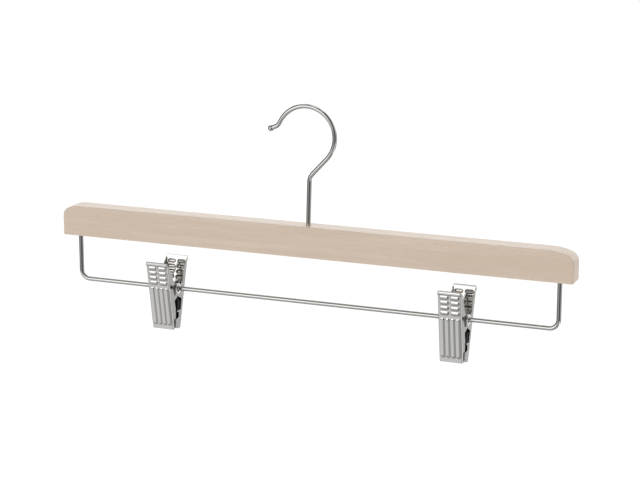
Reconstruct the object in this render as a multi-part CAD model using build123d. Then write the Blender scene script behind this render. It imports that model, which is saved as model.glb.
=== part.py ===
from build123d import *
import math
import os

# Skirt hanger: a pale wooden bar with a swivelling wire hook, a wide wire frame
# under the bar and two sprung steel clips that slide on that wire.
# Millimetres. +X runs along the bar, -Y is the front, +Z is up.
# The shapes are drawn with z = 0 on the bar's underside and x = 0 midway between
# the wire frame's legs; place() then moves everything so that the row's origin is the point where
# a rail carries the hook.

# ---------------------------------------------------------------- dimensions
BAR_L = 381.0          # bar length
BAR_X = 0.3            # the bar's middle
BAR_D = 15.0           # bar depth, front to back
BAR_H = 22.0           # bar height
# each rounded shoulder: where it starts from the bar's end, how far below the top it
# has turned vertical, and the radius of its small lower arc; the +X one is longer
SHOULDER = {1: (19.0, 9.0, 7.0), -1: (11.0, 7.5, 6.0)}
BAR_EDGE = 0.8         # eased long edges
BAR_FOOT_R = 0.9       # bottom corners, seen from the front

WIRE_D = 3.2           # steel wire of the hook and of the lower frame
WIRE_R = WIRE_D / 2
STEM_HOLE_R = WIRE_R + 0.05
CBORE_R = 5.0          # counterbore under the bar for the washer
CBORE_DEPTH = 5.0
WASHER_R = 4.6
WASHER_T = 0.8
HEAD_R = 2.7           # upset end of the hook's stem
HEAD_T = 1.8

STEM_X = -0.65         # where the hook's stem goes down through the bar
HOOK_R = 21.25         # centreline radius of the hook's crown
HOOK_CX, HOOK_CZ = -2.45, 84.35
TIP_X, TIP_Z = -28.55, 88.55
TIP_BALL_R = 2.15

FRAME_A = 180.0        # half distance between the wire frame's legs
FRAME_H = 33.5         # centreline of the lower wire below the bar
FRAME_R = 6.5          # bend radius of the wire frame's corners
FRAME_IN = 14.0        # how far the legs reach up into the bar

CLIP_X = {"left": -110.9, "right": 107.95}
CLIP_TILT = {"left": -2.4, "right": -5.0}   # how each clip hangs on the wire, degrees
PIVOT_DROP = 0.45      # the hollow rivet hangs this far below the wire's centre

SHEET = 0.7            # clip sheet thickness
SHELL_W = 16.9         # outer width of one stamping
SHELL_SHIFT = 0.4      # the two stampings are set off sideways, so flanges pass
BEND_R = 1.1           # outer bend radius, plate to flange
TOP_Z, TIP_ZZ = 21.0, -29.6
TOP_Y, TIP_Y = 16.58, 4.9  # outer face of the plate at those heights
FLARE = 0.6            # finger lip at the handle's top
RIVET_IN, RIVET_OUT = 2.2, 2.75
EAR_R = 4.1
EAR_HOLE = RIVET_OUT + 0.06
RIVET_HEAD_R = 3.95
RIVET_HEAD_T = 0.75
SPRING_WIRE = 1.1
SPRING_R = 3.55        # mean coil radius
BEAD_Z = (16.65, 12.98, 9.31, 5.64)   # raised beads across the handle
BEAD_X = 3.8           # their two columns
BEAD_RUN = 3.7         # straight length between a bead's round ends
BEAD_R, BEAD_H = 1.87, 0.48
RIB_PITCH = 3.7        # raised ribs down the jaw
RIB_TOP, RIB_LOW = 0.6, -24.8
RIB_R, RIB_H = 2.0, 0.48
PAD_X = 7.2            # half width of a grip pad
TAB_X = 7.25           # half width of the folded tab in it
TAB_TIP = 1.1          # how near the tab comes to the mid plane

SLOPE = (TOP_Y - TIP_Y) / (TOP_Z - TIP_ZZ)
LEAN = math.degrees(math.atan(SLOPE))

# the row's origin: the underside of the crown, where the rail carries it
RAIL = (HOOK_CX, 0.0, HOOK_CZ + HOOK_R - WIRE_R)


def place(shape):
    return Pos(-RAIL[0], -RAIL[1], -RAIL[2]) * shape


def plate_y(z):
    """Distance of a jaw plate's outer face from the clip's mid plane."""
    return TIP_Y + SLOPE * (z - TIP_ZZ)


# ---------------------------------------------------------------- wooden bar
def shoulder(side):
    """Points of one rounded shoulder, from the flat top to the end's vertical."""
    run, drop, small = SHOULDER[side]
    end = BAR_L / 2
    # the small arc lies inside the large one and touches it
    dx = run - small
    big = (dx * dx + drop * drop - small * small) / (2 * (drop - small))
    cx1, cz1 = end - run, BAR_H - big
    cx2, cz2 = end - small, BAR_H - drop
    d = math.hypot(cx2 - cx1, cz2 - cz1)
    ux, uz = (cx2 - cx1) / d, (cz2 - cz1) / d
    a1 = math.atan2(uz, ux)
    am = (math.pi / 2 + a1) / 2
    flat = (end - run, BAR_H)
    mid1 = (cx1 + big * math.cos(am), cz1 + big * math.sin(am))
    touch = (cx1 + ux * big, cz1 + uz * big)
    mid2 = (cx2 + small * math.cos(a1 / 2), cz2 + small * math.sin(a1 / 2))
    last = (end, cz2)
    print("shoulder", side, "large radius", round(big, 2))
    return [(BAR_X + side * x, z) for x, z in (flat, mid1, touch, mid2, last)]


def bar_outline():
    r = BAR_FOOT_R
    q = r * (1 - math.sqrt(0.5))
    right, left = shoulder(1), shoulder(-1)
    xr, xl = BAR_X + BAR_L / 2, BAR_X - BAR_L / 2
    with BuildLine() as bl:
        Line(left[0], right[0])
        ThreePointArc(right[0], right[1], right[2])
        ThreePointArc(right[2], right[3], right[4])
        Line(right[4], (xr, r))
        ThreePointArc((xr, r), (xr - q, q), (xr - r, 0))
        Line((xr - r, 0), (xl + r, 0))
        ThreePointArc((xl + r, 0), (xl + q, q), (xl, r))
        Line((xl, r), left[4])
        ThreePointArc(left[4], left[3], left[2])
        ThreePointArc(left[2], left[1], left[0])
    return make_face(bl.line)


def wooden_bar():
    # the outline is drawn in the XZ plane, so its normal is -Y
    face = Plane.XZ * bar_outline()
    body = extrude(face, amount=BAR_D / 2, both=True)
    rim = [e for e in body.edges() if abs(abs(e.center().Y) - BAR_D / 2) < 1e-3]
    body = fillet(rim, BAR_EDGE)
    body -= Pos(STEM_X, 0, BAR_H / 2) * Cylinder(STEM_HOLE_R, BAR_H + 2)
    body -= Pos(STEM_X, 0, CBORE_DEPTH / 2 - 0.5) * Cylinder(CBORE_R, CBORE_DEPTH + 1.0)
    for s in (-1, 1):
        body -= Pos(s * FRAME_A, 0, (FRAME_IN - 1) / 2) * Cylinder(WIRE_R, FRAME_IN + 1)
    return body


# ---------------------------------------------------------------- wire pieces
def corner_path(points, radii):
    """Straight runs joined by tangent arcs, in the XZ plane."""
    pts = [Vector(x, 0, z) for x, z in points]
    with BuildLine() as bl:
        here = pts[0]
        for i in range(1, len(pts) - 1):
            a = (pts[i - 1] - pts[i]).normalized()
            b = (pts[i + 1] - pts[i]).normalized()
            turn = math.radians(180 - a.get_angle(b))
            t = radii[i - 1] * math.tan(turn / 2)
            p, q = pts[i] + a * t, pts[i] + b * t
            mid = (a + b).normalized()
            centre = pts[i] + mid * (radii[i - 1] / math.cos(turn / 2))
            m = centre - mid * radii[i - 1]
            Line(here, p)
            ThreePointArc(p, m, q)
            here = q
        Line(here, pts[-1])
    return bl.line


def run(path):
    return sum(e.length for e in path.edges())


def sweep_round(path, radius):
    start = Plane(origin=path @ 0, z_dir=path % 0)
    return sweep(start * Circle(radius), path=path)


def hook():
    # stem, small bend, diagonal run, crown (one large arc), outward tip
    stem_top = (STEM_X + 0.9, 55.85)
    # diagonal line tangent to the crown circle
    ang = math.radians(47.0)
    ux, uz = math.cos(ang), math.sin(ang)
    tan_pt = (HOOK_CX + HOOK_R * uz, HOOK_CZ - HOOK_R * ux)
    # where the diagonal meets the stem's line
    s = (tan_pt[0] - stem_top[0]) / ux
    meet = (stem_top[0], tan_pt[1] - s * uz)
    a_end = math.radians(151.0)
    crown_end = (HOOK_CX + HOOK_R * math.cos(a_end), HOOK_CZ + HOOK_R * math.sin(a_end))
    a_start = math.atan2(tan_pt[1] - HOOK_CZ, tan_pt[0] - HOOK_CX)
    a_mid = (a_start + a_end) / 2
    crown_mid = (HOOK_CX + HOOK_R * math.cos(a_mid), HOOK_CZ + HOOK_R * math.sin(a_mid))
    # outward turn at the tip
    dx, dz = -math.sin(a_end), math.cos(a_end)
    out = math.radians(203.0)
    ox, oz = math.cos(out), math.sin(out)
    # corner where the crown's end tangent meets the tip's line
    det = dx * (-oz) - (-ox) * dz
    bx, bz = TIP_X - crown_end[0], TIP_Z - crown_end[1]
    k = (bx * (-oz) - (-ox) * bz) / det
    corner = (crown_end[0] + dx * k, crown_end[1] + dz * k)
    turn = math.radians(abs(math.degrees(math.atan2(oz, ox)) % 360 - math.degrees(math.atan2(dz, dx)) % 360))
    r_tip = 6.0
    t = r_tip * math.tan(turn / 2)
    print("hook: corner", [round(v, 2) for v in corner], "straight", round(k - t, 2), "turn", round(math.degrees(turn), 1))
    p = (corner[0] - dx * t, corner[1] - dz * t)
    q = (corner[0] + ox * t, corner[1] + oz * t)
    mx, mz = (ox - dx), (oz - dz)
    n = math.hypot(mx, mz)
    mx, mz = mx / n, mz / n
    cen = (corner[0] + mx * r_tip / math.cos(turn / 2), corner[1] + mz * r_tip / math.cos(turn / 2))
    m = (cen[0] - mx * r_tip, cen[1] - mz * r_tip)
    # lower bend, from the stem to the diagonal
    low = (STEM_X, 24.0)
    a = Vector(low[0] - meet[0], 0, low[1] - meet[1]).normalized()
    b = Vector(ux, 0, uz)
    turn2 = math.radians(180 - a.get_angle(b))
    r2 = 8.5
    t2 = r2 * math.tan(turn2 / 2)
    corner2 = Vector(meet[0], 0, meet[1])
    p2, q2 = corner2 + a * t2, corner2 + b * t2
    mid2 = (a + b).normalized()
    m2 = corner2 + mid2 * (r2 / math.cos(turn2 / 2)) - mid2 * r2
    # slight set in the stem just above the bar
    v0 = Vector(0, 0, -1)
    a3 = Vector(0, 0, -1)
    b3 = Vector(p2.X - low[0], 0, p2.Z - low[1]).normalized()
    turn3 = math.radians(180 - a3.get_angle(b3))
    r3 = 60.0
    t3 = r3 * math.tan(turn3 / 2)
    c3 = Vector(low[0], 0, low[1])
    p3, q3 = c3 + a3 * t3, c3 + b3 * t3
    mid3 = (a3 + b3).normalized()
    m3 = c3 + mid3 * (r3 / math.cos(turn3 / 2)) - mid3 * r3
    start = Vector(STEM_X, 0, CBORE_DEPTH - WASHER_T - 0.3)
    with BuildLine() as bl:
        Line(start, p3)
        ThreePointArc(p3, m3, q3)
        Line(q3, p2)
        ThreePointArc(p2, m2, q2)
        Line(q2, (tan_pt[0], 0, tan_pt[1]))
        ThreePointArc((tan_pt[0], 0, tan_pt[1]), (crown_mid[0], 0, crown_mid[1]), (crown_end[0], 0, crown_end[1]))
        Line((crown_end[0], 0, crown_end[1]), (p[0], 0, p[1]))
        ThreePointArc((p[0], 0, p[1]), (m[0], 0, m[1]), (q[0], 0, q[1]))
        Line((q[0], 0, q[1]), (TIP_X, 0, TIP_Z))
    path = bl.line
    body = sweep_round(path, WIRE_R)
    print("hook volume", round(body.volume, 1), "section x length", round(math.pi * WIRE_R ** 2 * run(path), 1))
    body += Pos(TIP_X, 0, TIP_Z) * Sphere(TIP_BALL_R)
    # upset head below the washer
    head_top = CBORE_DEPTH - WASHER_T
    head = Pos(STEM_X, 0, head_top - HEAD_T / 2) * Cylinder(HEAD_R, HEAD_T)
    head = fillet(head.edges().filter_by(GeomType.CIRCLE).sort_by(Axis.Z)[0], 1.0)
    body += head
    return body


def hook_washer():
    w = Cylinder(WASHER_R, WASHER_T) - Cylinder(STEM_HOLE_R + 0.05, WASHER_T + 1)
    w = fillet(w.edges().filter_by(GeomType.CIRCLE), 0.15)
    return Pos(STEM_X, 0, CBORE_DEPTH - WASHER_T / 2) * w


def wire_frame():
    pts = [(-FRAME_A, FRAME_IN), (-FRAME_A, -FRAME_H), (FRAME_A, -FRAME_H), (FRAME_A, FRAME_IN)]
    path = corner_path(pts, [FRAME_R, FRAME_R])
    body = sweep_round(path, WIRE_R)
    print("frame volume", round(body.volume, 1), "section x length", round(math.pi * WIRE_R ** 2 * run(path), 1))
    return body


# ---------------------------------------------------------------- clip pieces
# Clip coordinates: x along the wire, z up, origin on the pivot. The stamping is
# drawn as the front jaw, with its plate on the -y side; the rear jaw is the same
# piece turned half a turn about z.

def outline(points, radii=None):
    """A closed face in the clip's side view, its corners rounded by tangent arcs."""
    n = len(points)
    radii = radii or [0.0] * n
    pts = [Vector(0, y, z) for y, z in points]
    ends = []
    for i in range(n):
        here, before, after = pts[i], pts[i - 1], pts[(i + 1) % n]
        a, b = (before - here), (after - here)
        la, lb = a.length, b.length
        a, b = a.normalized(), b.normalized()
        turn = math.radians(180 - a.get_angle(b))
        r = radii[i]
        if r > 0 and turn > 0.02:
            t = min(r * math.tan(turn / 2), 0.48 * la, 0.48 * lb)
            r = t / math.tan(turn / 2)
            mid = (a + b).normalized()
            m = here + mid * (r / math.cos(turn / 2) - r)
            ends.append((here + a * t, m, here + b * t))
        else:
            ends.append((here, None, here))
    with BuildLine() as bl:
        for i in range(n):
            p, m, q = ends[i]
            if m is not None:
                ThreePointArc(p, m, q)
            Line(q, ends[(i + 1) % n][0])
    return make_face(bl.line)


def slab(points, x0, x1, radii=None):
    """Such a face, extruded from x0 to x1."""
    solid = extrude(outline(points, radii), amount=x1 - x0, dir=(1, 0, 0))
    return Pos(x0, 0, 0) * solid


def tab_z(y):
    """Height of the folded tab's upper face, at distance y from the mid plane."""
    return -16.0 - 0.2325 * y


def stamping():
    half = SHELL_W / 2
    t = SHEET
    ty = t / math.cos(math.radians(LEAN))   # thickness measured along y
    zt = TOP_Z - 2.2                        # where the finger lip starts
    # plate with its finger lip, seen from the side
    outer = [(-plate_y(TIP_ZZ), TIP_ZZ), (-plate_y(zt), zt),
             (-plate_y(zt + 0.8) - 0.12, zt + 0.8), (-plate_y(zt + 1.5) - 0.42, zt + 1.5),
             (-plate_y(TOP_Z) - FLARE, TOP_Z)]
    inner = [(-plate_y(TOP_Z) - FLARE + t * 0.92, TOP_Z + t * 0.45),
             (-plate_y(zt + 1.5) - 0.42 + t * 1.0, zt + 1.5 + t * 0.22),
             (-plate_y(zt + 0.8) - 0.12 + ty * 1.0, zt + 0.8),
             (-plate_y(zt) + ty, zt), (-plate_y(TIP_ZZ) + ty, TIP_ZZ)]
    plate = slab(outer + inner, -half, half)

    # flange on the -x side: the outer one, with the wide tab at the jaw's tip
    wide = [(-plate_y(18.6), 18.6), (-13.3, 18.3), (-10.4, 14.9), (-9.0, 12.4), (-8.5, 9.4),
            (-8.1, 6.0), (-7.2, 3.3), (-5.1, 1.9), (-2.8, 1.9), (1.0, 3.0), (3.0, 0.0), (3.75, -1.7),
            (3.3, -4.3), (-6.0, -8.2), (-4.7, -16.3), (0.9, -16.2), (0.9, -17.15),
            (-1.5, -17.5), (-1.5, -21.4), (3.2, -22.4),
            (3.3, -28.2), (0.4, -29.4), (-plate_y(-29.4), -29.4)]
    wide_r = [0, 1.3, 2.5, 4, 8, 6, 1.6, 0.8, 0, 0, 0, 0, 0.9, 0.5, 0.3, 0.3, 0.3, 0.3, 0.3, 0.4, 1.8, 0, 0]
    # flange on the +x side: the inner one
    narrow = [(-plate_y(18.6), 18.6), (-14.4, 18.4), (-10.1, 14.0), (-8.3, 11.2), (-6.7, 8.2),
              (-4.6, 5.1), (-1.4, 3.6), (1.0, 3.0), (3.0, 0.0), (4.0, -0.6), (5.2, -4.1),
              (-4.0, -8.3), (-1.6, -15.7), (-2.0, -22.5),
              (-2.4, -28.2), (-3.6, -29.2), (-plate_y(-29.2), -29.2)]
    narrow_r = [0, 1.3, 2.5, 8, 8, 4, 0, 0, 0, 0, 0.8, 0.5, 8, 8, 0.8, 0, 0]
    f_out = slab(wide, -half, -half + t, wide_r)
    f_in = slab(narrow, half - t, half, narrow_r)
    ear_out = Pos(-half + t / 2, 0, 0) * Rot(0, 90, 0) * Cylinder(EAR_R, t)
    ear_in = Pos(half - t / 2, 0, 0) * Rot(0, 90, 0) * Cylinder(EAR_R, t)
    body = plate + f_out + f_in + ear_out + ear_in

    # outer and inner bends between plate and flanges
    def long_edges(x, outer_side):
        found = []
        for e in body.edges():
            c = e.center()
            if abs(abs(c.X) - x) > 1e-3 or e.length < 30:
                continue
            target = -plate_y(c.Z) + (0 if outer_side else ty)
            if abs(c.Y - target) < 0.2:
                found.append(e)
        return found

    body = fillet(long_edges(half, True), BEND_R)
    inner_edges = long_edges(half - t, False)
    if inner_edges:
        body = fillet(inner_edges, BEND_R - t)

    # raised beads across the handle and raised ribs down the jaw, pressed out
    # of the sheet: a round back outside, a narrower hollow of the same run inside
    def pressed(x, z, length, along, radius, height):
        at = Pos(x, -plate_y(z), z) * Rot(90 + LEAN, 0, 0) * Pos(0, 0, height - radius)
        turn = Rot(0, 90, 0) if along == "x" else Rot(90, 0, 0)
        ends = (Pos(length / 2, 0, 0), Pos(-length / 2, 0, 0)) if along == "x" else (Pos(0, length / 2, 0), Pos(0, -length / 2, 0))
        cut = 60.0

        def capsule(r):
            return turn * Cylinder(r, length) + ends[0] * Sphere(r) + ends[1] * Sphere(r)

        above = Pos(0, 0, radius - height - t * 0.5 + 5) * Box(cut, cut, 10)
        return at * (capsule(radius) & above), at * capsule(radius - t)

    raised, hollows = [], []
    for z in BEAD_Z:
        for x in (-BEAD_X, BEAD_X):
            raised.append(pressed(x, z, BEAD_RUN, "x", BEAD_R, BEAD_H))
    zc = (RIB_TOP + RIB_LOW) / 2
    for x in (-1.5 * RIB_PITCH, -0.5 * RIB_PITCH, 0.5 * RIB_PITCH, 1.5 * RIB_PITCH):
        raised.append(pressed(x, zc, RIB_TOP - RIB_LOW, "z", RIB_R, RIB_H))
    for out, hollow in raised:
        body += out
        hollows.append(hollow)
    for hollow in hollows:
        body -= hollow
    # eyelet holes through both ears
    body -= Rot(0, 90, 0) * Cylinder(EAR_HOLE, SHELL_W + 4)
    # relief slit in the inner flange
    body -= Pos(half - t / 2, -6.85, 2.15) * Rot(-12.5, 0, 0) * Box(t * 3, 6.0, 1.3)
    # folded tab that holds the pad, square to the plate
    y0, y1 = 7.15, TAB_TIP
    body += slab([(-y0, tab_z(y0)), (-y1, tab_z(y1)), (-y1, tab_z(y1) - ty), (-y0, tab_z(y0) - ty)],
                 SHELL_SHIFT - TAB_X, SHELL_SHIFT + TAB_X)
    return body


def pad():
    """Black rubber grip pad for the front jaw, drawn against its plate."""
    ty = SHEET / math.cos(math.radians(LEAN))

    def back(z):
        return -plate_y(z) + ty + 0.03

    gap = 0.03
    pts = [(back(-6.3) + 0.6, -6.3), (-1.6, -6.3), (-0.6, -12.0), (-0.3, -17.5), (-0.12, -21.4)]
    # grip grooves across the tip
    for z in (-22.2, -24.6, -27.0):
        pts += [(-0.12, z), (-0.62, z - 0.6), (-0.12, z - 1.2)]
    # below the tab the rubber stands clear of the plate
    pts += [(-0.12, -29.3), (back(-29.3), -29.3), (back(-25.7), -25.7), (-5.1, -25.2),
            (-5.1, tab_z(5.1) - ty - gap), (-TAB_TIP + gap, tab_z(TAB_TIP) - ty - gap),
            (-TAB_TIP + gap, tab_z(TAB_TIP) + gap), (back(-17.58), -17.58)]
    body = slab(pts, -PAD_X, PAD_X)
    # ear beside the pivot, behind the slit
    body += slab([(back(3.2), 3.2), (-5.2, 3.2), (-5.2, -7.0), (back(-7.0), -7.0)], 3.6, PAD_X)
    return body


def rivet():
    half = SHELL_W / 2 + SHELL_SHIFT + 0.05
    tube = Rot(0, 90, 0) * Cylinder(RIVET_OUT, 2 * half)
    body = tube
    for s in (-1, 1):
        head = Pos(s * (half + RIVET_HEAD_T / 2), 0, 0) * Rot(0, 90, 0) * Cylinder(RIVET_HEAD_R, RIVET_HEAD_T)
        body += head
    body -= Rot(0, 90, 0) * Cylinder(RIVET_IN, 60)
    outer = [e for e in body.edges().filter_by(GeomType.CIRCLE)
             if abs(abs(e.center().X) - (half + RIVET_HEAD_T)) < 1e-3]
    body = fillet(outer, 0.33)
    return body


def spring():
    """Torsion spring: a close coil round the rivet, with one arm to each handle."""
    turns = 5.0
    pitch = SPRING_WIRE * 0.97
    length = turns * pitch
    # coil as a stack of rings, joined by the arms at its two ends
    body = None
    n = int(turns)
    for i in range(n):
        x = (i - (n - 1) / 2) * pitch
        ring = Pos(x, 0, 0) * Rot(0, 90, 0) * Torus(SPRING_R, SPRING_WIRE / 2)
        body = ring if body is None else body + ring
    x_end = (n - 1) / 2 * pitch
    ty = SHEET / math.cos(math.radians(LEAN))
    for s, x in ((-1, -x_end), (1, x_end)):
        # arm leaves the coil tangentially and bears on the handle's inner face
        zt = 16.5
        y_top = s * (plate_y(zt) - ty - SPRING_WIRE / 2 - 0.12)
        # tangent point on the coil circle
        dist = math.hypot(y_top, zt)
        base = math.atan2(zt, y_top)
        off = math.acos(SPRING_R / dist)
        a = base - off if s < 0 else base + off
        ys, zs = SPRING_R * math.cos(a), SPRING_R * math.sin(a)
        arm = Line((x, ys, zs), (x, y_top, zt))
        body += sweep(Plane(origin=arm @ 0, z_dir=arm % 0) * Circle(SPRING_WIRE / 2), path=arm)
        body += Pos(x, y_top, zt) * Sphere(SPRING_WIRE / 2)
        foot = Line((x, y_top, zt), (s * 6.4, y_top, zt))
        body += sweep(Plane(origin=foot @ 0, z_dir=foot % 0) * Circle(SPRING_WIRE / 2), path=foot)
    return body


def clip_frame(side):
    return Pos(CLIP_X[side], 0, -FRAME_H - PIVOT_DROP) * Rot(CLIP_TILT[side], 0, 0)


os.makedirs("parts", exist_ok=True)


def one_solid(shape):
    solids = shape.solids()
    return solids[0] if len(solids) == 1 else Compound(children=solids)


def write(name, shape):
    shape = one_solid(place(shape))
    export_step(shape, f"parts/{name}.step")
    print(name, len(shape.solids()), round(shape.volume, 1))


write("wooden_bar", wooden_bar())
write("hook", hook())
write("hook_washer", hook_washer())
write("wire_frame", wire_frame())

JAW = stamping()
PAD = pad()
RIVET = rivet()
SPRING = spring()
for side in ("left", "right"):
    f = clip_frame(side)
    write(f"{side}_front_jaw", f * Pos(-SHELL_SHIFT, 0, 0) * JAW)
    write(f"{side}_rear_jaw", f * Pos(SHELL_SHIFT, 0, 0) * Rot(0, 0, 180) * JAW)
    write(f"{side}_front_pad", f * PAD)
    write(f"{side}_rear_pad", f * Rot(0, 0, 180) * PAD)
    write(f"{side}_pivot_rivet", f * RIVET)
    write(f"{side}_spring", f * SPRING)
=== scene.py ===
import bpy
import math
import numpy as np
from mathutils import Vector, Matrix
from mathutils.geometry import delaunay_2d_cdt


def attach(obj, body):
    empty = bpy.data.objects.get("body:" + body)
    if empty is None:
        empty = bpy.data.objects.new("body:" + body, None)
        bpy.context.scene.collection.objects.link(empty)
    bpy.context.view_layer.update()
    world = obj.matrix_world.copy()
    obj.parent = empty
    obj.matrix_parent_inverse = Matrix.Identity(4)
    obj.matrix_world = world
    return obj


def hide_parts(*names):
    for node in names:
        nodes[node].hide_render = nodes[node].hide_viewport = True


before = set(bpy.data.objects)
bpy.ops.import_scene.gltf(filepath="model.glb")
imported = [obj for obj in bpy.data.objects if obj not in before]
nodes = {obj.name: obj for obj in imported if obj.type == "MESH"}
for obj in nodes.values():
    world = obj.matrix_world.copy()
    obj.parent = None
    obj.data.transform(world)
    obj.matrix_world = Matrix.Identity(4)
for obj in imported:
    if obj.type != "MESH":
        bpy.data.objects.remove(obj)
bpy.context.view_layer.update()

# ------------------------------------------------------------------ dimensions
# Millimetres, in the bar's own coordinates: x = 0 midway between the wire frame's
# legs, z = 0 on the bar's underside. OFFSET moves them into the row frame.
MM = 0.001
HOOK_R = 21.25
HOOK_CX, HOOK_CZ = -2.45, 84.35
STEM_X = -0.65
WIRE_R = 1.6
OFFSET = Vector((-HOOK_CX, 0.0, -(HOOK_CZ + HOOK_R - WIRE_R)))
TIP_X, TIP_Z = -28.55, 88.55
TIP_BALL_R = 2.15
FRAME_A, FRAME_H, FRAME_R, FRAME_IN = 180.0, 33.5, 6.5, 14.0
CLIP_X = {"left": -110.9, "right": 107.95}
CLIP_TILT = {"left": -2.4, "right": -5.0}
PIVOT_DROP = 0.45
SHEET = 0.7
SHELL_W = 16.9
SHELL_SHIFT = 0.4
BEND_R = 1.1
TOP_Z, TIP_ZZ = 21.0, -29.6
TOP_Y, TIP_Y = 16.58, 4.9
SLOPE = (TOP_Y - TIP_Y) / (TOP_Z - TIP_ZZ)
LEAN = math.atan(SLOPE)
EAR_R, EAR_HOLE = 4.1, 2.81
RIVET_IN, RIVET_OUT, RIVET_HEAD_R, RIVET_HEAD_T = 2.2, 2.75, 3.95, 0.75
SPRING_WIRE, SPRING_R = 1.1, 3.55
PAD_X = 7.2
TAB_X, TAB_WIDE, TAB_TIP = 7.25, 7.25, 1.1


def row_matrix():
    return Matrix.Scale(MM, 4) @ Matrix.Translation(OFFSET)


def clip_matrix(side):
    return (row_matrix() @ Matrix.Translation((CLIP_X[side], 0.0, -FRAME_H - PIVOT_DROP))
            @ Matrix.Rotation(math.radians(CLIP_TILT[side]), 4, "X"))


# ------------------------------------------------------------------ mesh helpers
def make_mesh(name, verts, faces, matrix=None, uv=None, painted_light=None):
    verts = np.asarray(verts, float)
    if matrix is not None:
        m = np.array(matrix)
        verts = verts @ m[:3, :3].T + m[:3, 3]
    mesh = bpy.data.meshes.new(name)
    mesh.from_pydata([tuple(v) for v in verts], [], [tuple(f) for f in faces])
    if uv is not None:
        layer = mesh.uv_layers.new(name="along")
        idx = np.zeros(len(mesh.loops), np.int32)
        mesh.loops.foreach_get("vertex_index", idx)
        layer.data.foreach_set("uv", np.asarray(uv, np.float32)[idx].ravel())
    # two channels per vertex: painted shade and a painted highlight
    if painted_light is not None:
        layer = mesh.color_attributes.new("painted_light", "FLOAT_COLOR", "POINT")
        full = np.zeros((len(mesh.vertices), 4), np.float32)
        full[:, :2] = painted_light
        full[:, 3] = 1.0
        layer.data.foreach_set("color", full.ravel())
    mesh.validate()
    mesh.update()
    obj = bpy.data.objects.new(name, mesh)
    bpy.context.scene.collection.objects.link(obj)
    return obj


def shade(obj, angle=40.0, weighted=True):
    mesh = obj.data
    mesh.polygons.foreach_set("use_smooth", [True] * len(mesh.polygons))
    mesh.set_sharp_from_angle(angle=math.radians(angle))
    if weighted:
        mod = obj.modifiers.new("flat_faces", "WEIGHTED_NORMAL")
        mod.mode = "FACE_AREA"
        mod.weight = 60
        mod.keep_sharp = True
    return obj


def rounded(points, radii, arc=7):
    """Closed polygon with its corners rounded by tangent arcs, as a list of points."""
    out = []
    n = len(points)
    for i in range(n):
        p = np.array(points[i], float)
        a = np.array(points[i - 1], float) - p
        b = np.array(points[(i + 1) % n], float) - p
        la, lb = np.linalg.norm(a), np.linalg.norm(b)
        a, b = a / la, b / lb
        cosang = float(np.clip(a @ b, -1, 1))
        turn = math.pi - math.acos(cosang)
        r = radii[i]
        if r <= 0 or turn < 0.03:
            out.append(p)
            continue
        t = min(r * math.tan(turn / 2), 0.47 * la, 0.47 * lb)
        r = t / math.tan(turn / 2)
        mid = a + b
        mid /= np.linalg.norm(mid)
        c = p + mid * (r / math.cos(turn / 2))
        s, e = p + a * t, p + b * t
        k = max(3, int(arc * turn / 1.2) + 1)
        s0, e0 = s - c, e - c
        for j in range(k + 1):
            w = j / k
            ang = turn * w
            q = (math.sin(turn - ang) * s0 + math.sin(ang) * e0) / math.sin(turn)
            out.append(c + q)
    return out


def densify(poly, step):
    out = []
    n = len(poly)
    for i in range(n):
        p, q = np.array(poly[i], float), np.array(poly[(i + 1) % n], float)
        d = np.linalg.norm(q - p)
        if d < 1e-6:
            continue
        k = max(1, int(math.ceil(d / step)))
        for j in range(k):
            out.append(p + (q - p) * j / k)
    return out


def circle(cx, cy, r, n=48):
    return [np.array((cx + r * math.cos(2 * math.pi * i / n), cy + r * math.sin(2 * math.pi * i / n)))
            for i in range(n)]


def capsule_loop(cx, cy, run, r, angle=0.0, n=8):
    """A slot's outline: two half circles and two straight sides."""
    pts = []
    for s, base in ((1, -90), (-1, 90)):
        for i in range(n + 1):
            a = math.radians(base + 180 * i / n)
            pts.append((s * run / 2 + r * math.cos(a), r * math.sin(a)))
    c, s_ = math.cos(angle), math.sin(angle)
    return [np.array((cx + x * c - y * s_, cy + x * s_ + y * c)) for x, y in pts]


def inside(poly, pts):
    """Even-odd test of many points against one closed polyline."""
    poly = np.asarray(poly, float)
    x, y = pts[:, 0], pts[:, 1]
    res = np.zeros(len(pts), bool)
    a, b = poly, np.roll(poly, -1, axis=0)
    for (x0, y0), (x1, y1) in zip(a, b):
        if y0 == y1:
            continue
        hit = (y0 > y) != (y1 > y)
        xs = x0 + (y - y0) * (x1 - x0) / (y1 - y0)
        res ^= hit & (x < xs)
    return res


def near(poly, pts, dist):
    """True for each point closer than dist to the closed polyline."""
    poly = np.asarray(poly, float)
    res = np.zeros(len(pts), bool)
    a, b = poly, np.roll(poly, -1, axis=0)
    for p, q in zip(a, b):
        d = q - p
        l2 = float(d @ d)
        if l2 < 1e-12:
            continue
        lo, hi = np.minimum(p, q) - dist, np.maximum(p, q) + dist
        sel = np.where((pts[:, 0] > lo[0]) & (pts[:, 0] < hi[0]) & (pts[:, 1] > lo[1]) & (pts[:, 1] < hi[1]))[0]
        if not len(sel):
            continue
        v = pts[sel] - p
        t = np.clip(v @ d / l2, 0, 1)
        w = v - t[:, None] * d
        res[sel[(w * w).sum(1) < dist * dist]] = True
    return res


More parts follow.
